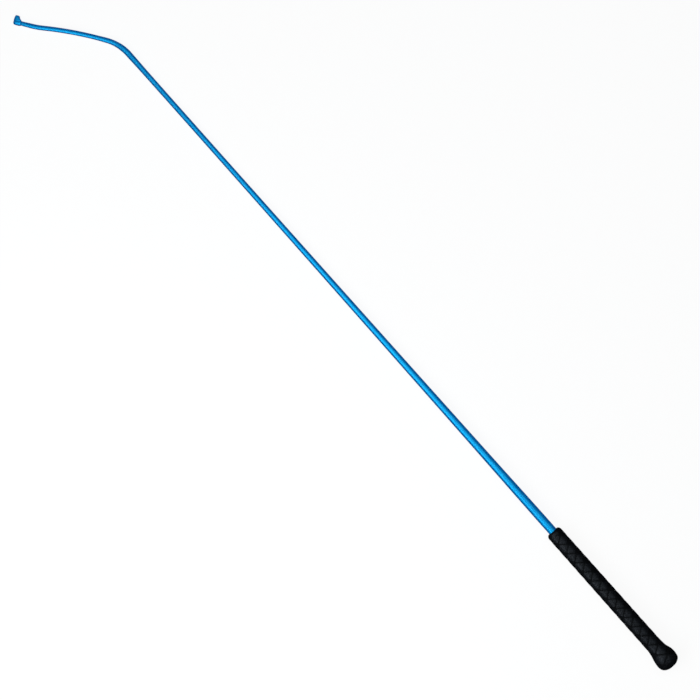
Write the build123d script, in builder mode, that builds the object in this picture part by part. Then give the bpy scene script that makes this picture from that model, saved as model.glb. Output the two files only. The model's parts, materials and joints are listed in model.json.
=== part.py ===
from build123d import *
import os

# A livestock show stick lying at rest on a level surface: a swaged aluminium tube with a bent front
# end, a cast hook in its nose, and a moulded rubber grip with a bulb, slipped on over grip tape.
# Distances along the stick start at the butt face. Radii and diameters are in millimetres.

# Shaft tube: outer diameters at distances along the stick. Its straight part ends in a small swell.
wall = 1.2
tube_start = 5.0
parallel_end = 285.0
butt_diameter = 13.2
swell_start = 1195.0
swell_diameter = 8.95
straight_taper = [
    (parallel_end, butt_diameter),
    (400.0, 11.9),
    (550.0, 10.5),
    (700.0, 9.4),
    (850.0, 8.55),
    (1000.0, 8.0),
    (1100.0, 7.9),
    (1150.0, 8.05),
    (1182.0, 8.6),
    (swell_start, swell_diameter),
]

# Front end: three tangent bends as (radius, degrees), the last one turning back, then a straight nose.
bends = [(67.7, 32.56), (558.0, 9.76), (125.6, -8.15)]
neck_diameter = 7.1
nose_diameter = 6.6
nose_length = 14.3
# Sections through the bends: outer diameters at distances past the start of the first bend.
bend_sections = [
    (0.0, swell_diameter),
    (5.0, 8.9),
    (11.0, 8.78),
    (17.0, 8.5),
    (23.0, 8.1),
    (29.0, 7.88),
    (36.0, 7.72),
    (43.0, 7.5),
    (50.0, 7.2),
]
neck_section_spacing = 8.0

# Hook: a blunt round end with a nub that points away from the side that the stick bends to.
spigot_length = 13.0
hook_front = 26.35
collar_radius = 3.5
hook_radius = 4.35
hook_outline = [(15.2, 3.78), (17.0, 4.2), (20.0, hook_radius), (23.2, 4.3), (25.2, 3.55)]
hook_face_radius = 1.6
# Sections of the nub: reach from the stick's axis, lowest and highest distance, half thickness.
nub_sections = [
    (1.5, 15.3, 26.2, 3.6),
    (3.0, 15.4, 26.35, 3.6),
    (4.4, 15.8, 26.35, 3.55),
    (5.4, 17.0, 26.3, 3.45),
    (6.6, 18.1, 26.15, 3.3),
    (8.0, 18.95, 25.6, 2.9),
    (9.1, 19.75, 24.4, 2.2),
    (9.8, 20.7, 23.2, 1.3),
]

# Grip: outline from the butt face over the bulb to the mouth.
grip_length = 263.2
butt_flat_radius = 6.5
butt_edge_direction = (0.2, 1)
bulb_peak = (13.8, 16.8)
bulb_outline = [
    (1.8, 10.9),
    (4.6, 14.3),
    (8.4, 16.2),
    bulb_peak,
    (19.4, 16.45),
    (24.0, 15.45),
    (28.4, 14.15),
    (33.0, 13.15),
    (38.0, 12.6),
]
handle_start = (45.0, 12.36)
mouth_radius = 11.8
mouth_flat_radius = 7.6
mouth_round_length = 5.8
vent_diameter = 3.0

# Grip tape, double-sided, on the tube under the grip.
tape_thickness = 0.2
tape_start = 7.0
tape_end = 258.0

# The box of the lying stick in plan, which the origin is centred under.
box_length = 1346.5
box_low_y = -16.8
box_high_y = 96.49

# The stick rests on three points: the bulb, the swell before the bend, and the hook. That tilts the
# plane that holds its centre line a little from level.
hook_rest_point = (1337.3, 90.6)
slope_x = (swell_diameter / 2 - bulb_peak[1]) / (swell_start - bulb_peak[0])
height_by_slope_x = bulb_peak[1] + slope_x * (hook_rest_point[0] - bulb_peak[0])
slope_y = (hook_radius - height_by_slope_x) / hook_rest_point[1]
stick = Plane(
    origin=(-box_length / 2, -(box_low_y + box_high_y) / 2, bulb_peak[1] - slope_x * bulb_peak[0]),
    x_dir=(1, 0, slope_x),
    z_dir=(-slope_x, -slope_y, 1),
)
stick_axis = Axis(stick.origin, stick.x_dir)


def across(distance):
    """A plane square to the straight part of the stick, at a distance from the butt face."""
    origin = stick.from_local_coords((distance, 0, 0))
    return Plane(origin=origin, x_dir=stick.y_dir, z_dir=stick.x_dir)


# Centre line of the bent front end, from the swell to the root of the nose.
with BuildLine(stick) as bend_line:
    start, direction = (swell_start, 0), (1, 0)
    for radius, turn in bends:
        bend = JernArc(start=start, tangent=direction, radius=radius, arc_size=turn)
        start, direction = bend @ 1, bend % 1
bend_wire = bend_line.wire()
nose = Plane(origin=bend_wire @ 1, x_dir=bend_wire % 1, z_dir=stick.z_dir)
nose_axis = Axis(nose.origin, nose.x_dir)

neck_start = bend_sections[-1][0]
neck_count = round((bend_wire.length - neck_start) / neck_section_spacing)
neck_step = (bend_wire.length - neck_start) / neck_count
neck_sections = [(neck_start + neck_step * (i + 1), neck_diameter) for i in range(neck_count)]


def tube_body(inset, nose_end_radius):
    """The shaft's outer form, made smaller all round by inset, as one solid."""
    with BuildPart() as body:
        with BuildSketch(stick):
            with BuildLine():
                taper_points = [(distance, diameter / 2 - inset) for distance, diameter in straight_taper]
                Line((tube_start, 0), (tube_start, butt_diameter / 2 - inset))
                Line((tube_start, butt_diameter / 2 - inset), taper_points[0])
                Spline(*taper_points)
                Line(taper_points[-1], (swell_start, 0))
                Line((swell_start, 0), (tube_start, 0))
            make_face()
        revolve(axis=stick_axis)
        for distance, diameter in bend_sections + neck_sections:
            place = bend_wire.location_at(distance, position_mode=PositionMode.LENGTH)
            with BuildSketch(Plane(place)):
                Circle(diameter / 2 - inset)
        loft()
        root = (0, neck_diameter / 2 - inset)
        along_nose = (1, 0)
        end = (nose_length, nose_end_radius)
        with BuildSketch(nose):
            with BuildLine():
                Line((0, 0), root)
                Spline(root, end, tangents=(along_nose, along_nose))
                Line(end, (nose_length, 0))
                Line((nose_length, 0), (0, 0))
            make_face()
        revolve(axis=nose_axis)
    return body.part


bore_radius = neck_diameter / 2 - wall
spigot_end = nose_length - spigot_length
with BuildPart() as shaft:
    add(tube_body(0, nose_diameter / 2))
    add(tube_body(wall, bore_radius), mode=Mode.SUBTRACT)
shaft.part.label = "shaft"

with BuildPart() as hook_tip:
    with BuildSketch(nose):
        with BuildLine():
            Polyline((hook_front, 0), (spigot_end, 0), (spigot_end, bore_radius))
            Polyline((spigot_end, bore_radius), (nose_length, bore_radius), (nose_length, collar_radius))
            Spline((nose_length, collar_radius), *hook_outline, (hook_front, hook_face_radius))
            Line((hook_front, hook_face_radius), (hook_front, 0))
        make_face()
    revolve(axis=nose_axis)
    for reach, low, high, half_thickness in nub_sections:
        centre = nose.from_local_coords(((low + high) / 2, -reach, 0))
        with BuildSketch(Plane(origin=centre, x_dir=nose.x_dir, z_dir=-nose.y_dir)):
            Ellipse((high - low) / 2, half_thickness)
    loft()
hook_tip.part.label = "hook_tip"

bore_of_grip = butt_diameter / 2 + tape_thickness
with BuildPart() as grip:
    with BuildSketch(stick):
        with BuildLine():
            butt_corner = (0, butt_flat_radius)
            handle_end = grip_length - mouth_round_length
            mouth_round_start = (handle_end, mouth_radius)
            mouth_round_height = mouth_radius - mouth_flat_radius
            handle_direction = Vector(mouth_round_start) - Vector(handle_start)
            Line((0, 0), butt_corner)
            bulb_tangents = (butt_edge_direction, handle_direction)
            Spline(butt_corner, *bulb_outline, handle_start, tangents=bulb_tangents)
            Line(handle_start, mouth_round_start)
            EllipticalCenterArc(
                (handle_end, mouth_flat_radius), mouth_round_length, mouth_round_height, arc_size=90
            )
            mouth_edge = (grip_length, mouth_flat_radius)
            bore_end = (tube_start, bore_of_grip)
            Polyline(mouth_edge, (grip_length, bore_of_grip), bore_end, (tube_start, 0), (0, 0))
        make_face()
    revolve(axis=stick_axis)
    with BuildSketch(across(0)):
        Circle(vent_diameter / 2)
    extrude(amount=tube_start, mode=Mode.SUBTRACT)
grip.part.label = "grip"

with BuildPart() as grip_tape:
    with BuildSketch(across(tape_start)):
        Circle(bore_of_grip)
        Circle(butt_diameter / 2, mode=Mode.SUBTRACT)
    extrude(amount=tape_end - tape_start)
grip_tape.part.label = "grip_tape"

os.makedirs("parts", exist_ok=True)
for piece in (shaft, hook_tip, grip, grip_tape):
    export_step(piece.part, f"parts/{piece.part.label}.step")
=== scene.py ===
import json
import math

import bmesh
import bpy
import numpy as np
from mathutils import Matrix, Vector


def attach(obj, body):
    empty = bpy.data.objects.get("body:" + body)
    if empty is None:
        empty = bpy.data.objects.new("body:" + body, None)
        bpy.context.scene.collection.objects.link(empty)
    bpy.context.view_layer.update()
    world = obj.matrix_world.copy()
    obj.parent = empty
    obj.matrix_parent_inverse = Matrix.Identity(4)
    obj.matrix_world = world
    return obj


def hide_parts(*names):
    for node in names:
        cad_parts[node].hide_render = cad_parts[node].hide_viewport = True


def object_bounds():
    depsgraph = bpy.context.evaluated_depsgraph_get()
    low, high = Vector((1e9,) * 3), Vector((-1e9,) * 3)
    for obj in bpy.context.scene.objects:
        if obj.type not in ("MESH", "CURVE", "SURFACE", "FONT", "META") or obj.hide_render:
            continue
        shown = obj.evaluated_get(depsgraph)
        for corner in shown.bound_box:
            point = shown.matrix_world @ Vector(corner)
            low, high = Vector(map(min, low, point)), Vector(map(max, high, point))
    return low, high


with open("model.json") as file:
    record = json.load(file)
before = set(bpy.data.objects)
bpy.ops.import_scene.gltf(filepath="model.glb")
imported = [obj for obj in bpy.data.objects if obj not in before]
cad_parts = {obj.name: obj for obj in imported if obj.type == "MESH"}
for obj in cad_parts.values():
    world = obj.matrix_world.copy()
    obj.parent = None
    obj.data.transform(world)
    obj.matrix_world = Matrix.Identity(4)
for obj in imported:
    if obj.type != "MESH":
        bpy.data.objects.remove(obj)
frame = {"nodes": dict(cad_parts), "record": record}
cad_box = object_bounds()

# The visual model of a livestock show stick that lies on a level surface: a blue anodised tube with
# a bent front end, a cast hook in its nose, and a moulded rubber grip with an engraved plait.
# Lengths are in metres. Distances along the stick start at the butt face.

MM = 0.001

# ---------------------------------------------------------------- the stick's own frame, from the record


def mount(name):
    """Place and axis of one of the record's mounts."""
    found = next(m for m in frame["record"]["mounts"] if m["name"] == name)
    return Vector(found["pos_m"]), Vector(found["axis"]).normalized()


# Where the mounts lie: the clip seat along the stick from the butt face, the butt face's point to the
# left of the stick's axis, and the notch along and across the nose from the nose's root.
CLIP_SEAT_DISTANCE = 274.1 * MM
BUTT_FACE_OFFSET = 4.0 * MM
NOTCH_ALONG, NOTCH_ACROSS = 14.0 * MM, -5.6 * MM

seat_place, STICK_X = mount("shaft_clip_seat")
STICK_ORIGIN = seat_place - CLIP_SEAT_DISTANCE * STICK_X
STICK_Y = (mount("butt_face")[0] - STICK_ORIGIN) / BUTT_FACE_OFFSET
STICK_Y = (STICK_Y - STICK_Y.dot(STICK_X) * STICK_X).normalized()
STICK_Z = STICK_X.cross(STICK_Y)

notch_place, notch_axis = mount("hook_notch")
NOSE_Y = -notch_axis
NOSE_X = NOSE_Y.cross(STICK_Z)
NOSE_ROOT = notch_place - NOTCH_ALONG * NOSE_X - NOTCH_ACROSS * NOSE_Y


def stick_point(along, left, up):
    """A place from distances along the stick, to its left and up from its axis."""
    return STICK_ORIGIN + along * STICK_X + left * STICK_Y + up * STICK_Z


# ---------------------------------------------------------------- driving dimensions, as on the CAD model

WALL = 1.2 * MM
TUBE_START = 5.0 * MM
SWELL_START = 1195.0 * MM
TUBE_STATIONS = [  # (distance along the centre line, outer diameter), mm
    (5, 13.2), (285, 13.2), (400, 11.9), (550, 10.5), (700, 9.4), (850, 8.55), (1000, 8.0),
    (1100, 7.9), (1150, 8.05), (1182, 8.6), (1195, 8.95), (1200, 8.9), (1206, 8.78), (1212, 8.5),
    (1218, 8.1), (1224, 7.88), (1231, 7.72), (1238, 7.5), (1245, 7.2), (1255, 7.1), (1342, 7.1),
    (1347, 7.08), (1353, 6.8), (1358, 6.62), (1361, 6.6),
]
BENDS = [(67.7 * MM, 32.56), (558.0 * MM, 9.76), (125.6 * MM, -8.15)]
NOSE_LENGTH = 14.3 * MM

GRIP_LENGTH = 263.2 * MM
GRIP_BORE_RADIUS = 6.8 * MM
GRIP_OUTLINE = [  # (distance from the butt face, radius), mm
    (0.0, 6.5), (0.6, 8.4), (1.8, 10.9), (4.6, 14.3), (8.4, 16.2), (13.8, 16.8), (19.4, 16.45),
    (24.0, 15.45), (28.4, 14.15), (33.0, 13.15), (38.0, 12.6), (45.0, 12.36), (80.0, 12.27),
    (160.0, 12.06), (257.4, 11.8),
]
MOUTH_FLAT_RADIUS = 7.6 * MM
MOUTH_ROUND_LENGTH = 5.8 * MM
VENT_RADIUS = 1.5 * MM


def smooth_curve(points):
    """A smooth curve through (position, value) points, with no overshoot between them."""
    xs = np.array([p[0] for p in points], float)
    ys = np.array([p[1] for p in points], float)
    step = np.diff(xs)
    slope = np.diff(ys) / step
    tangent = np.zeros_like(ys)
    for i in range(1, len(xs) - 1):
        if slope[i - 1] * slope[i] > 0:
            before, after = 2 * step[i] + step[i - 1], step[i] + 2 * step[i - 1]
            tangent[i] = (before + after) / (before / slope[i - 1] + after / slope[i])
    tangent[0], tangent[-1] = slope[0], slope[-1]

    def value(x):
        x = np.clip(np.asarray(x, float), xs[0], xs[-1])
        i = np.clip(np.searchsorted(xs, x, side="right") - 1, 0, len(step) - 1)
        t = (x - xs[i]) / step[i]
        return (
            (1 + 2 * t) * (1 - t) ** 2 * ys[i]
            + t * (1 - t) ** 2 * step[i] * tangent[i]
            + t * t * (3 - 2 * t) * ys[i + 1]
            + t * t * (t - 1) * step[i] * tangent[i + 1]
        )

    return value


tube_diameter = smooth_curve(TUBE_STATIONS)
grip_radius = smooth_curve(GRIP_OUTLINE)


# ---------------------------------------------------------------- mesh helpers


def new_object(name, mesh):
    piece = bpy.data.objects.new(name, mesh)
    bpy.context.scene.collection.objects.link(piece)
    return piece


def ring_mesh(name, rings, straight):
    """A closed tube of quads through rings of points, the last ring joined to the first.

    rings is an array (ring, point round the ring, xyz). straight, of the same shape, is where each
    point would be on a stick with no bends, and the materials read it.
    """
    count, around = rings.shape[:2]
    mesh = bpy.data.meshes.new(name)
    faces = []
    for i in range(count):
        for j in range(around):
            a, b = i * around + j, i * around + (j + 1) % around
            c, d = (i + 1) % count * around + (j + 1) % around, (i + 1) % count * around + j
            faces.append((a, b, c, d))
    mesh.from_pydata([tuple(p) for p in rings.reshape(-1, 3)], [], faces)
    layer = mesh.attributes.new("straight", "FLOAT_VECTOR", "POINT")
    layer.data.foreach_set("vector", straight.astype(np.float32).ravel())
    mesh.validate()
    mesh.update()
    mesh.shade_smooth()
    return mesh


def outward(mesh):
    """Turns the faces so that they point out of the solid."""
    work = bmesh.new()
    work.from_mesh(mesh)
    bmesh.ops.recalc_face_normals(work, faces=work.faces)
    work.to_mesh(mesh)
    work.free()


# ---------------------------------------------------------------- materials

# Anodised aluminium: clouds in the dye and grains per metre, along the stick and in the two directions
# across it. The colours and the roughness spread over the middle range of the two noises' mean, and
# EDGE_BLUE is the metal's tint at glancing angles.
CLOUD_SCALE = (110.0, 180.0, 180.0)
DRAWN_GRAIN = (30.0, 2600.0, 2600.0)
CAST_GRAIN = (900.0, 900.0, 900.0)
DRAWN_GRAIN_DEPTH, CAST_GRAIN_DEPTH = 0.02 * MM, 0.03 * MM
GRAIN_STRENGTH = 0.35
DEEP_BLUE, BRIGHT_BLUE = (0.008, 0.41, 0.80), (0.016, 0.49, 0.88)
EDGE_BLUE = (0.05, 0.3, 0.8, 1.0)
BLUE_RANGE = (0.38, 0.62)
BLUE_ROUGHNESS = (0.36, 0.46)

# Grip rubber: pores and creases per metre, how far the creases shift the tone, the tones from the grooves
# to the crowns (painted shade, darkest in the grooves, and a painted highlight on the crowns), and the
# roughness added in the grooves and by the creases.
PORES, CREASES = 1900.0, 430.0
PORE_DEPTH, PORE_STRENGTH = 0.08 * MM, 0.5
CREASE_DEPTH, CREASE_STRENGTH = 0.4 * MM, 0.6
CREASE_TONE = 0.42
RUBBER_PAINTED_SHADE_AND_HIGHLIGHT = [
    (0.1, (0.0005, 0.0005, 0.0006)),
    (0.5, (0.0021, 0.0024, 0.0030)),
    (1.0, (0.0158, 0.0180, 0.0228)),
]
GROOVE_DULLNESS, GROOVE_RANGE = (0.45, 0.0), (0.15, 0.5)
RUBBER_SATIN = (0.54, 0.30)
RUBBER_SPECULAR = 0.38
RUBBER_SPECULAR_TINT = (0.82, 0.89, 1.0, 1.0)

# Grip tape: paper fibres per metre, and the crepe's waves.
PAPER_FIBRES = 900.0
CREPE_SCALE, CREPE_DISTORTION, CREPE_DEPTH, CREPE_STRENGTH = 160.0, 4.0, 0.05 * MM, 0.5
PAPER_TONES = [(0.3, (0.52, 0.47, 0.34)), (0.7, (0.68, 0.63, 0.5))]
PAPER_ROUGHNESS = (0.75, 0.9)


class Nodes:
    """A short way to write a node material."""

    def __init__(self, name):
        self.material = bpy.data.materials.new(name)
        self.material.use_nodes = True
        self.tree = self.material.node_tree
        self.tree.nodes.clear()
        self.output = self.tree.nodes.new("ShaderNodeOutputMaterial")
        self.shader = self.tree.nodes.new("ShaderNodeBsdfPrincipled")
        self.link(self.shader.outputs[0], self.output.inputs["Surface"])

    def link(self, source, target):
        self.tree.links.new(source, target)

    def node(self, kind, inputs=None, **settings):
        made = self.tree.nodes.new(kind)
        for key, value in settings.items():
            setattr(made, key, value)
        for key, value in (inputs or {}).items():
            if isinstance(value, bpy.types.NodeSocket):
                self.link(value, made.inputs[key])
            else:
                made.inputs[key].default_value = value
        return made

    def coordinates(self, attribute, scale):
        """A vertex attribute's vector, scaled per axis."""
        source = self.node("ShaderNodeAttribute", attribute_name=attribute)
        made = self.node("ShaderNodeMapping", {"Vector": source.outputs["Vector"], "Scale": scale})
        return made.outputs["Vector"]

    def object_coordinates(self, scale):
        source = self.node("ShaderNodeTexCoord")
        made = self.node("ShaderNodeMapping", {"Vector": source.outputs["Object"], "Scale": scale})
        return made.outputs["Vector"]

    def noise(self, vector, scale, detail=2.0, roughness=0.5):
        made = self.node(
            "ShaderNodeTexNoise",
            {"Vector": vector, "Scale": scale, "Detail": detail, "Roughness": roughness},
        )
        return made.outputs["Fac"]

    def spread(self, value, low, high, from_low=0.3, from_high=0.7):
        made = self.node(
            "ShaderNodeMapRange",
            {"Value": value, "From Min": from_low, "From Max": from_high, "To Min": low, "To Max": high},
        )
        return made.outputs["Result"]

    def ramp(self, value, stops):
        made = self.node("ShaderNodeValToRGB", {"Fac": value})
        elements = made.color_ramp.elements
        while len(elements) < len(stops):
            elements.new(0.5)
        for element, (position, color) in zip(elements, stops):
            element.position = position
            element.color = (*color, 1.0)
        return made.outputs["Color"]

    def bump(self, height, distance, strength, normal=None):
        inputs = {"Height": height, "Distance": distance, "Strength": strength}
        if normal is not None:
            inputs["Normal"] = normal
        return self.node("ShaderNodeBump", inputs).outputs["Normal"]


def anodised_blue(name, space, grain_scale, grain_depth):
    """Dyed anodised aluminium: a satin metal with a fine grain and faint cloudiness in the dye.

    space is the name of the vertex attribute to lay the grain in, and grain_scale its grains per metre.
    """
    made = Nodes(name)
    grain = made.noise(made.coordinates(space, grain_scale), 1.0, detail=3.0, roughness=0.6)
    cloud = made.noise(made.coordinates(space, CLOUD_SCALE), 1.0, detail=3.0)
    tone = made.node("ShaderNodeMath", {0: grain, 1: cloud}, operation="ADD").outputs[0]
    half = made.node("ShaderNodeMath", {0: tone, 1: 0.5}, operation="MULTIPLY").outputs[0]
    low, high = BLUE_RANGE
    made.link(made.ramp(half, [(low, DEEP_BLUE), (high, BRIGHT_BLUE)]), made.shader.inputs["Base Color"])
    made.link(made.spread(half, *BLUE_ROUGHNESS, low, high), made.shader.inputs["Roughness"])
    made.link(made.bump(grain, grain_depth, GRAIN_STRENGTH), made.shader.inputs["Normal"])
    made.shader.inputs["Metallic"].default_value = 1.0
    made.shader.inputs["Specular Tint"].default_value = EDGE_BLUE
    return made.material


def grip_rubber():
    """Satin black rubber moulded like plaited leather: duller in the grooves, with painted shade
    darkening the grooves and a painted highlight greying the crowns.
    """
    made = Nodes("grip_rubber")
    relief = made.node("ShaderNodeAttribute", attribute_name="relief").outputs["Fac"]
    skin_space = made.coordinates("straight", (1.0, 1.0, 1.0))
    pores = made.noise(skin_space, PORES, detail=3.0, roughness=0.6)
    creases = made.noise(skin_space, CREASES, detail=4.0, roughness=0.65)
    wear = made.spread(creases, -CREASE_TONE, CREASE_TONE)
    # The relief sets the painted shade in the grooves and the painted highlight on the crowns, and the
    # creases add a random tone.
    tone = made.node("ShaderNodeMath", {0: relief, 1: wear}, operation="ADD").outputs[0]
    made.link(made.ramp(tone, RUBBER_PAINTED_SHADE_AND_HIGHLIGHT), made.shader.inputs["Base Color"])
    dull = made.spread(relief, *GROOVE_DULLNESS, *GROOVE_RANGE)
    satin = made.spread(creases, *RUBBER_SATIN)
    rough = made.node("ShaderNodeMath", {0: dull, 1: satin}, operation="ADD").outputs[0]
    made.link(rough, made.shader.inputs["Roughness"])
    fine = made.bump(pores, PORE_DEPTH, PORE_STRENGTH)
    made.link(made.bump(creases, CREASE_DEPTH, CREASE_STRENGTH, fine), made.shader.inputs["Normal"])
    made.shader.inputs["Specular IOR Level"].default_value = RUBBER_SPECULAR
    made.shader.inputs["Specular Tint"].default_value = RUBBER_SPECULAR_TINT
    return made.material


def tape_paper():
    """Creamy crepe paper tape with fine cross creases."""
    made = Nodes("grip_tape_paper")
    space = made.object_coordinates((1.0, 1.0, 1.0))
    fibres = made.noise(space, PAPER_FIBRES, detail=4.0, roughness=0.7)
    waves = {"Vector": space, "Scale": CREPE_SCALE, "Distortion": CREPE_DISTORTION, "Detail": 2.0}
    crepe = made.node("ShaderNodeTexWave", waves).outputs["Fac"]
    made.link(made.ramp(fibres, PAPER_TONES), made.shader.inputs["Base Color"])
    made.link(made.spread(fibres, *PAPER_ROUGHNESS), made.shader.inputs["Roughness"])
    made.link(made.bump(crepe, CREPE_DEPTH, CREPE_STRENGTH), made.shader.inputs["Normal"])
    return made.material


# ---------------------------------------------------------------- the tube


def centre_line(distance):
    """Point and direction of the stick's centre line, in the stick's plane, at a distance."""
    place, heading = Vector((min(distance, SWELL_START), 0.0)), 0.0
    left = distance - SWELL_START
    for radius, turn in BENDS:
        if left <= 0:
            break
        angle = math.radians(turn)
        part = min(1.0, left / (radius * abs(angle)))
        side = math.copysign(radius, angle)
        centre = place + side * Vector((-math.sin(heading), math.cos(heading)))
        heading_after = heading + angle * part
        place = centre + side * Vector((math.sin(heading_after), -math.cos(heading_after)))
        heading = heading_after
        left -= radius * abs(angle)
    if left > 0:
        place = place + left * Vector((math.cos(heading), math.sin(heading)))
    return place, heading


BENT_LENGTH = sum(radius * math.radians(abs(turn)) for radius, turn in BENDS)
TUBE_END = SWELL_START + BENT_LENGTH + NOSE_LENGTH


TUBE_AROUND = 96
STRAIGHT_STEP, BEND_STEP = 4.0 * MM, 0.8 * MM
TUBE_CHAMFER = 0.15 * MM


def make_tube():
    """The bent tube, open at both ends, with the outer edge of each end broken."""
    stations = np.arange(TUBE_START, SWELL_START - STRAIGHT_STEP / 2, STRAIGHT_STEP).tolist()
    stations += np.linspace(SWELL_START, TUBE_END, round((TUBE_END - SWELL_START) / BEND_STEP)).tolist()
    outside = [(TUBE_START, -TUBE_CHAMFER), (TUBE_START + TUBE_CHAMFER, 0.0)]
    outside += [(distance, 0.0) for distance in stations[1:-1]]
    outside += [(TUBE_END - TUBE_CHAMFER, 0.0), (TUBE_END, -TUBE_CHAMFER)]
    inside = [(distance, -WALL) for distance in (TUBE_END, *reversed(stations[1:-1]), TUBE_START)]
    rings, straight = [], []
    angles = np.linspace(0, 2 * math.pi, TUBE_AROUND, endpoint=False)
    for distance, inset in outside + inside:
        place, heading = centre_line(distance)
        radius = float(tube_diameter(distance / MM)) * MM / 2 + inset
        side = -math.sin(heading) * STICK_X + math.cos(heading) * STICK_Y
        base = stick_point(place.x, place.y, 0.0)
        ring = [base + radius * (math.sin(a) * side + math.cos(a) * STICK_Z) for a in angles]
        rings.append(ring)
        straight.append([(distance, radius * math.sin(a), radius * math.cos(a)) for a in angles])
    mesh = ring_mesh("shaft_skin", np.array(rings), np.array(straight))
    outward(mesh)
    mesh.materials.append(anodised_blue("tube_blue", "straight", DRAWN_GRAIN, DRAWN_GRAIN_DEPTH))
    tube = new_object("shaft_skin", mesh)
    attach(tube, "root")
    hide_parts("shaft")
    return tube


# ---------------------------------------------------------------- the grip

# The plait: its cells along and around the grip, one crossing's place, and the height from the grooves
# to the crowns. A relief of PLAIT_FLUSH lies on the grip's outline.
PLAIT_PERIOD = 17.78 * MM
PLAIT_CELLS_AROUND = 3
PLAIT_NODE = 48.6 * MM
PLAIT_NODE_ANGLE = math.radians(36.0)
HANDLE_RADIUS = 12.3 * MM
PLAIT_STRETCH_ON_BULB = 0.5
PLAIT_CROWN = 0.34 * MM
PLAIT_FLUSH = 0.7
PLAIT_START, PLAIT_START_FADE = 4.0 * MM, 5.0 * MM
PLAIT_END, PLAIT_END_FADE = 257.6 * MM, 1.6 * MM
PHASE_STEPS = 2400
# Across a strand, in its widths: how far and how steeply it falls away, the edge where the groove
# starts, and its fibres. Along a strand: where and how deep it dives under the next.
STRAND_FALL, STRAND_FALL_POWER = 0.34, 2.2
STRAND_EDGE, GROOVE_FLOOR = (0.43, 0.5), 0.1
STRAND_DIVE, STRAND_DIVE_RANGE, STRAND_DIVE_POWER = 0.8, (0.2, 0.5), 1.3
STRAND_FIBRES, FIBRE_HEIGHT, FIBRE_FADE = 4, 0.17, (0.3, 0.45)
# How unevenly the strands lie, and the numbers of the fixed scatter that sets it.
STRAND_UNEVEN = 0.16
SCATTER_ALONG, SCATTER_AROUND, SCATTER_SIZE = 12.9898, 78.233, 43758.5453


def smoothstep(value, low, high):
    t = np.clip((value - low) / (high - low), 0.0, 1.0)
    return t * t * (3 - 2 * t)


def plait_phase(distances):
    """Plait periods between the known crossing and each distance. The cells lengthen on the bulb."""
    fine = np.linspace(0.0, GRIP_LENGTH, PHASE_STEPS)
    swell = np.maximum(1.0, grip_radius(fine / MM) * MM / HANDLE_RADIUS)
    rate = 1.0 / (PLAIT_PERIOD * swell**PLAIT_STRETCH_ON_BULB)
    total = np.concatenate([[0.0], np.cumsum((rate[1:] + rate[:-1]) / 2 * np.diff(fine))])
    return np.interp(distances, fine, total) - np.interp(PLAIT_NODE, fine, total)


def plait_height(distance, angle):
    """Relief of a plain plait of flat strands, from 0 in the grooves to 1 on the crowns."""
    # The plait's lattice: strands of one hand keep u, and strands of the other hand keep v.
    towards_butt = -plait_phase(distance) - 0.5
    turn = (angle - PLAIT_NODE_ANGLE) / (2 * math.pi) * PLAIT_CELLS_AROUND
    u, v = towards_butt + turn, towards_butt - turn
    cell_u, cell_v = np.round(u), np.round(v)
    off_u, off_v = u - cell_u, v - cell_v
    even = (cell_u + cell_v) % 2 == 0
    along, across = np.where(even, off_u, off_v), np.where(even, off_v, off_u)
    crown = 1.0 - STRAND_FALL * (2 * np.abs(across)) ** STRAND_FALL_POWER
    edge = 1.0 - smoothstep(np.abs(across), *STRAND_EDGE)
    dive = 1.0 - STRAND_DIVE * smoothstep(np.abs(along), *STRAND_DIVE_RANGE) ** STRAND_DIVE_POWER
    fibres = np.cos(across * 2 * math.pi * STRAND_FIBRES) * (1 - smoothstep(np.abs(across), *FIBRE_FADE))
    # Each strand lies a little higher or lower than the next, and the scatter closes round the grip.
    turn_of_cell = (cell_u - cell_v) % (2 * PLAIT_CELLS_AROUND)
    scatter = np.sin(SCATTER_ALONG * (cell_u + cell_v) + SCATTER_AROUND * turn_of_cell) * SCATTER_SIZE
    lie = 1.0 - STRAND_UNEVEN * (scatter - np.floor(scatter))
    strand = lie * crown * (GROOVE_FLOOR + (1 - GROOVE_FLOOR) * edge)
    return np.clip((strand + FIBRE_HEIGHT * fibres) * dive, 0.0, 1.0)


# Rings of the grip's mesh: radii on the butt face, distances (mm) round its edge, then even steps, and
# rings round the mouth and down the bore.
GRIP_AROUND = 176
BUTT_RING_RADII = (VENT_RADIUS, 3.0 * MM, 5.0 * MM)
BUTT_EDGE_RINGS = (0.0, 0.15, 0.35, 0.6, 0.9, 1.25, 1.6, 2.0, 2.45, 2.9, 3.4, 3.9)
EVEN_RINGS_START, EVEN_RINGS_STEP = 4.4 * MM, 0.5 * MM
MOUTH_RINGS, BORE_RINGS = 15, 12
MOUTH_FACE_RADIUS, MOUTH_CHAMFER, BORE_RINGS_START = 7.1 * MM, 0.25 * MM, 4.0 * MM
BORE_END_RADIUS, VENT_EDGE = 4.0 * MM, 0.4 * MM


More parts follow.
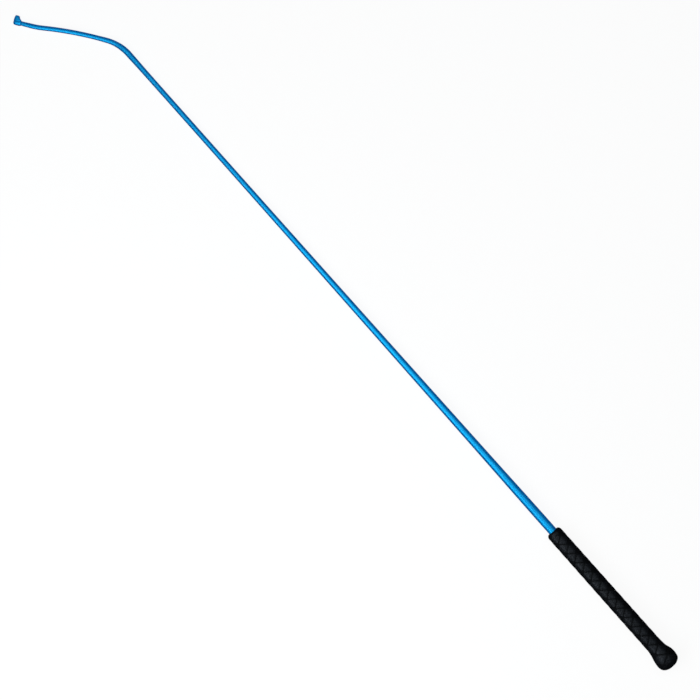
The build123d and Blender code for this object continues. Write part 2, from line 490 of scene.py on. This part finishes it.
def grip_outline():
    """The grip's closed section as (distance, radius), and how many of its points are on the outside."""
    round_start = GRIP_LENGTH - MOUTH_ROUND_LENGTH
    outline = [(0.0, radius) for radius in BUTT_RING_RADII]
    for distance in BUTT_EDGE_RINGS:
        outline.append((distance * MM, float(grip_radius(distance)) * MM))
    for distance in np.arange(EVEN_RINGS_START, round_start, EVEN_RINGS_STEP):
        outline.append((distance, float(grip_radius(distance / MM)) * MM))
    mouth_rise = float(grip_radius(round_start / MM)) * MM - MOUTH_FLAT_RADIUS
    for turn in np.linspace(0.0, math.pi / 2, MOUTH_RINGS):
        distance = round_start + MOUTH_ROUND_LENGTH * math.sin(turn)
        outline.append((distance, MOUTH_FLAT_RADIUS + mouth_rise * math.cos(turn)))
    outer_count = len(outline)
    # The mouth's face, the bore, the bore's closed end, and the vent back to the butt face.
    outline += [(GRIP_LENGTH, MOUTH_FACE_RADIUS), (GRIP_LENGTH - MOUTH_CHAMFER, GRIP_BORE_RADIUS)]
    bore = np.linspace(GRIP_LENGTH - BORE_RINGS_START, TUBE_START, BORE_RINGS)
    outline += [(distance, GRIP_BORE_RADIUS) for distance in bore]
    outline += [(TUBE_START, BORE_END_RADIUS), (TUBE_START, VENT_RADIUS), (VENT_EDGE, VENT_RADIUS)]
    return outline, outer_count


def make_grip():
    """The rubber sleeve: one revolved skin, with the plait raised and engraved on its outside."""
    outline, outer_count = grip_outline()
    distance = np.array([p[0] for p in outline])[:, None]
    radius = np.array([p[1] for p in outline])[:, None]
    angle = np.linspace(0, 2 * math.pi, GRIP_AROUND, endpoint=False)[None, :]
    distance, radius, angle = np.broadcast_arrays(distance, radius, angle)
    fade = smoothstep(distance, PLAIT_START, PLAIT_START + PLAIT_START_FADE) * (
        1 - smoothstep(distance, PLAIT_END - PLAIT_END_FADE, PLAIT_END)
    )
    outer = (np.arange(len(outline)) < outer_count)[:, None]
    engraved = PLAIT_FLUSH + (plait_height(distance, angle) - PLAIT_FLUSH) * fade
    relief = np.where(outer, engraved, PLAIT_FLUSH)
    lifted = radius + (relief - PLAIT_FLUSH) * PLAIT_CROWN
    local = np.stack([distance, lifted * np.sin(angle), lifted * np.cos(angle)], axis=-1)
    axes = np.array([STICK_X, STICK_Y, STICK_Z])
    rings = local @ axes + np.array(STICK_ORIGIN)
    mesh = ring_mesh("grip_skin", rings, local)
    layer = mesh.attributes.new("relief", "FLOAT", "POINT")
    layer.data.foreach_set("value", relief.astype(np.float32).ravel())
    outward(mesh)
    mesh.materials.append(grip_rubber())
    grip = new_object("grip_skin", mesh)
    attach(grip, "root")
    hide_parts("grip")


# ---------------------------------------------------------------- the hook

# The spigot, the collar and the blunt end, as (distance past the root of the nose, radius), mm.
HOOK_OUTLINE = [
    (1.3, 0.0), (1.3, 2.1), (1.6, 2.35), (14.3, 2.35), (14.3, 3.2), (15.0, 3.6), (16.0, 4.1),
    (17.6, 4.32), (20.0, 4.35), (23.2, 4.3), (24.6, 3.95), (25.6, 3.1), (26.2, 1.9), (26.4, 0.7),
    (26.4, 0.0),
]
HOOK_POLE_RADIUS = 0.01
NUB_SECTIONS = [  # (reach from the nose's axis, lowest and highest distance, half thickness), mm
    (-3.0, 18.0, 25.0, 2.3), (-1.5, 16.6, 25.9, 3.7), (1.5, 15.4, 26.35, 4.0), (3.0, 15.35, 26.4, 4.0),
    (4.4, 15.8, 26.4, 3.9), (5.4, 16.9, 26.35, 3.8), (6.6, 18.0, 26.2, 3.65), (8.0, 18.75, 25.9, 3.4),
    (10.1, 19.2, 25.5, 3.1),
]
# The nub's top is domed, and its sections are rounded rectangles. Its rings crowd towards the top.
NUB_TOP, NUB_DOME_START, NUB_DOME_POWER, NUB_DOME_TIP = 10.1, 7.7, 3.2, 0.02
NUB_SQUARENESS = 3.2
NUB_RINGS, NUB_RING_POWER = 70, 1.6
HOOK_AROUND = 96
HOOK_VOXEL = 0.15 * MM
HOOK_SOFTENING, HOOK_SOFTENING_ROUNDS = 0.5, 14


def nose_point(along, across, up):
    """A place by the nose, from distances in mm past its root, across its axis and up."""
    x, y, z = (float(value) * MM for value in (along, across, up))
    return NOSE_ROOT + x * NOSE_X + y * NOSE_Y + z * STICK_Z


def closed_form(name, rings):
    """A closed solid through rings of points, each end closed by a fan to its own middle."""
    rings = np.array(rings)
    count, around = rings.shape[:2]
    ends = [tuple(rings[0].mean(axis=0)), tuple(rings[-1].mean(axis=0))]
    points = [tuple(p) for p in rings.reshape(-1, 3)] + ends
    faces = []
    for j in range(around):
        k = (j + 1) % around
        for i in range(count - 1):
            here, above = i * around, (i + 1) * around
            faces.append((here + j, here + k, above + k, above + j))
        faces.append((count * around, k, j))
        faces.append((count * around + 1, (count - 1) * around + j, (count - 1) * around + k))
    mesh = bpy.data.meshes.new(name)
    mesh.from_pydata(points, [], faces)
    outward(mesh)
    return mesh


def hook_body():
    """Rings of the hook's revolved form, from the spigot's end to the blunt front."""
    angles = np.linspace(0, 2 * math.pi, HOOK_AROUND, endpoint=False)
    outline = [(along, max(radius, HOOK_POLE_RADIUS)) for along, radius in HOOK_OUTLINE]
    return [[nose_point(along, r * math.sin(a), r * math.cos(a)) for a in angles] for along, r in outline]


def hook_nub():
    """Rings of the nub, from inside the hook's body to its domed top."""
    reaches, *columns = zip(*NUB_SECTIONS)
    low, high, half = (smooth_curve(list(zip(reaches, values))) for values in columns)
    angles = np.linspace(0, 2 * math.pi, HOOK_AROUND, endpoint=False)
    rings = []
    for t in np.linspace(0.0, 1.0, NUB_RINGS):
        reach = NUB_TOP - (NUB_TOP - reaches[0]) * (1 - t) ** NUB_RING_POWER
        risen = max(0.0, (reach - NUB_DOME_START) / (NUB_TOP - NUB_DOME_START))
        dome = (1 - min(1.0, risen) ** NUB_DOME_POWER) ** (1 / NUB_DOME_POWER)
        shrink = max(NUB_DOME_TIP, dome)
        middle = (low(reach) + high(reach)) / 2
        length, thickness = (high(reach) - low(reach)) / 2 * shrink, half(reach) * shrink
        ring = []
        for a in angles:
            c, d = math.cos(a), math.sin(a)
            bulge = (abs(c) ** NUB_SQUARENESS + abs(d) ** NUB_SQUARENESS) ** (-1 / NUB_SQUARENESS)
            ring.append(nose_point(middle + length * bulge * c, -reach, thickness * bulge * d))
        rings.append(ring)
    return rings


def make_hook():
    """The cast hook: nose, nub and spigot in one, finely remeshed so that its corners are cast radii."""
    joined = bmesh.new()
    for name, rings in (("hook_body", hook_body()), ("hook_nub", hook_nub())):
        joined.from_mesh(closed_form(name, rings))
    mesh = bpy.data.meshes.new("hook_skin")
    joined.to_mesh(mesh)
    joined.free()
    hook = new_object("hook_skin", mesh)
    remesh = hook.modifiers.new("remesh", "REMESH")
    remesh.mode = "VOXEL"
    remesh.voxel_size = HOOK_VOXEL
    soften = hook.modifiers.new("soften", "SMOOTH")
    soften.factor = HOOK_SOFTENING
    soften.iterations = HOOK_SOFTENING_ROUNDS
    graph = bpy.context.evaluated_depsgraph_get()
    mesh = bpy.data.meshes.new_from_object(hook.evaluated_get(graph))
    hook.modifiers.clear()
    hook.data = mesh
    layer = mesh.attributes.new("cast", "FLOAT_VECTOR", "POINT")
    places = np.zeros(len(mesh.vertices) * 3, dtype=np.float32)
    mesh.vertices.foreach_get("co", places)
    layer.data.foreach_set("vector", places)
    mesh.shade_smooth()
    mesh.materials.clear()
    mesh.materials.append(anodised_blue("hook_blue", "cast", CAST_GRAIN, CAST_GRAIN_DEPTH))
    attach(hook, "root")
    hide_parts("hook_tip")
    return hook


# ---------------------------------------------------------------- the stage

# White paper, partly self-lit, with a faint mottle.
FLOOR_HALF = 20.0
PAPER_MOTTLE = 60.0
PAPER_WHITES = [(0.3, (0.215, 0.215, 0.215)), (0.7, (0.225, 0.225, 0.225))]
PAPER_GLOW = 0.919
FLOOR_ROUGHNESS, FLOOR_SPECULAR = 0.9, 0.1
# The studio as the camera sees it, and as the stick's surfaces do.
STUDIO_SEEN = (0.93, 0.93, 0.93, 1.0)
STUDIO_FELT = (0.02, 0.021, 0.023, 1.0)
SOFTBOX_COLOR = (0.93, 0.98, 1.0)
METAL_FILL_COLOR = (0.38, 0.57, 1.0)
METAL_SKY, METAL_BOUNCE = 0.89, 0.82


def make_floor():
    """Paper that the stick lies on. It is lit but casts no light or reflection on the stick."""
    mesh = bpy.data.meshes.new("floor")
    level = cad_box[0][2]
    sides = ((-1, -1), (1, -1), (1, 1), (-1, 1))
    corners = [(FLOOR_HALF * x, FLOOR_HALF * y, level) for x, y in sides]
    mesh.from_pydata(corners, [], [(0, 1, 2, 3)])
    made = Nodes("floor_paper")
    mottle = made.noise(made.object_coordinates((1, 1, 1)), PAPER_MOTTLE, detail=3.0)
    made.link(made.ramp(mottle, PAPER_WHITES), made.shader.inputs["Base Color"])
    made.shader.inputs["Emission Color"].default_value = (1, 1, 1, 1)
    made.shader.inputs["Emission Strength"].default_value = PAPER_GLOW
    made.shader.inputs["Roughness"].default_value = FLOOR_ROUGHNESS
    made.shader.inputs["Specular IOR Level"].default_value = FLOOR_SPECULAR
    mesh.materials.append(made.material)
    floor = new_object("floor", mesh)
    floor.visible_glossy = False
    floor.visible_diffuse = False
    floor.visible_shadow = False


def softbox(name, right, up, height, width, length, radiance):
    """A soft cool light that lies level above the stick, at a place in the view's own directions."""
    data = bpy.data.lights.new(name, "AREA")
    data.shape = "RECTANGLE"
    data.size, data.size_y = width, length
    data.energy = radiance * math.pi * width * length
    data.color = SOFTBOX_COLOR
    light = bpy.data.objects.new(name, data)
    bpy.context.scene.collection.objects.link(light)
    place = AIM + right * VIEW_RIGHT + up * VIEW_UP + height * STICK_Z
    light.matrix_world = Matrix.Translation(place) @ VIEW_TURN
    light.visible_camera = False


def metal_fill(name, turn, strength, receivers):
    """A half dome of cool light that only the anodised pieces catch, as metal mirrors a pale studio."""
    data = bpy.data.lights.new(name, "SUN")
    data.angle = math.pi
    data.color = METAL_FILL_COLOR
    data.energy = strength
    light = bpy.data.objects.new(name, data)
    bpy.context.scene.collection.objects.link(light)
    light.matrix_world = turn
    light.light_linking.receiver_collection = receivers


def make_world():
    """A pale studio for the camera, and a dimmer one for what the stick's surfaces see."""
    world = bpy.data.worlds.new("studio")
    bpy.context.scene.world = world
    world.use_nodes = True
    tree = world.node_tree
    tree.nodes.clear()
    seen = tree.nodes.new("ShaderNodeBackground")
    seen.inputs["Color"].default_value = STUDIO_SEEN
    felt = tree.nodes.new("ShaderNodeBackground")
    felt.inputs["Color"].default_value = STUDIO_FELT
    rays = tree.nodes.new("ShaderNodeLightPath")
    mix = tree.nodes.new("ShaderNodeMixShader")
    output = tree.nodes.new("ShaderNodeOutputWorld")
    tree.links.new(rays.outputs["Is Camera Ray"], mix.inputs[0])
    tree.links.new(felt.outputs[0], mix.inputs[1])
    tree.links.new(seen.outputs[0], mix.inputs[2])
    tree.links.new(mix.outputs[0], output.inputs[0])


# The view: square to the stick's plane, with the butt at the lower right and the hook at the upper left.
VIEW_WIDTH = 1.022
CAMERA_DISTANCE, CAMERA_REACH = 6.0, 200.0
SENSOR = 36.0
AIM_ALONG, AIM_LEFT = 0.6578, 0.0455
STICK_HEADING = math.radians(131.62)

VIEW_RIGHT = math.cos(STICK_HEADING) * STICK_X - math.sin(STICK_HEADING) * STICK_Y
VIEW_UP = math.sin(STICK_HEADING) * STICK_X + math.cos(STICK_HEADING) * STICK_Y
VIEW_TURN = Matrix((VIEW_RIGHT, VIEW_UP, STICK_Z)).transposed().to_4x4()
AIM = stick_point(AIM_ALONG, AIM_LEFT, 0.0)


def make_camera():
    data = bpy.data.cameras.new("camera")
    data.sensor_width = SENSOR
    data.lens = SENSOR * CAMERA_DISTANCE / VIEW_WIDTH
    data.clip_end = CAMERA_REACH
    camera = bpy.data.objects.new("camera", data)
    bpy.context.scene.collection.objects.link(camera)
    camera.matrix_world = Matrix.Translation(AIM + CAMERA_DISTANCE * STICK_Z) @ VIEW_TURN
    bpy.context.scene.camera = camera


make_camera()
make_world()
make_floor()
softbox("key", right=-0.55, up=-1.0, height=1.0, width=0.75, length=1.9, radiance=1.92)
softbox("top", right=0.35, up=0.2, height=2.2, width=2.1, length=1.9, radiance=0.7)
make_grip()
metal_pieces = bpy.data.collections.new("metal_pieces")
for metal_piece in (make_tube(), make_hook()):
    metal_pieces.objects.link(metal_piece)
metal_fill("metal_sky", VIEW_TURN, METAL_SKY, metal_pieces)
metal_fill("metal_bounce", VIEW_TURN @ Matrix.Rotation(math.pi, 4, "X"), METAL_BOUNCE, metal_pieces)
tape_materials = frame["nodes"]["grip_tape"].data.materials
tape_materials.clear()
tape_materials.append(tape_paper())

bpy.context.scene.view_settings.view_transform = "Standard"
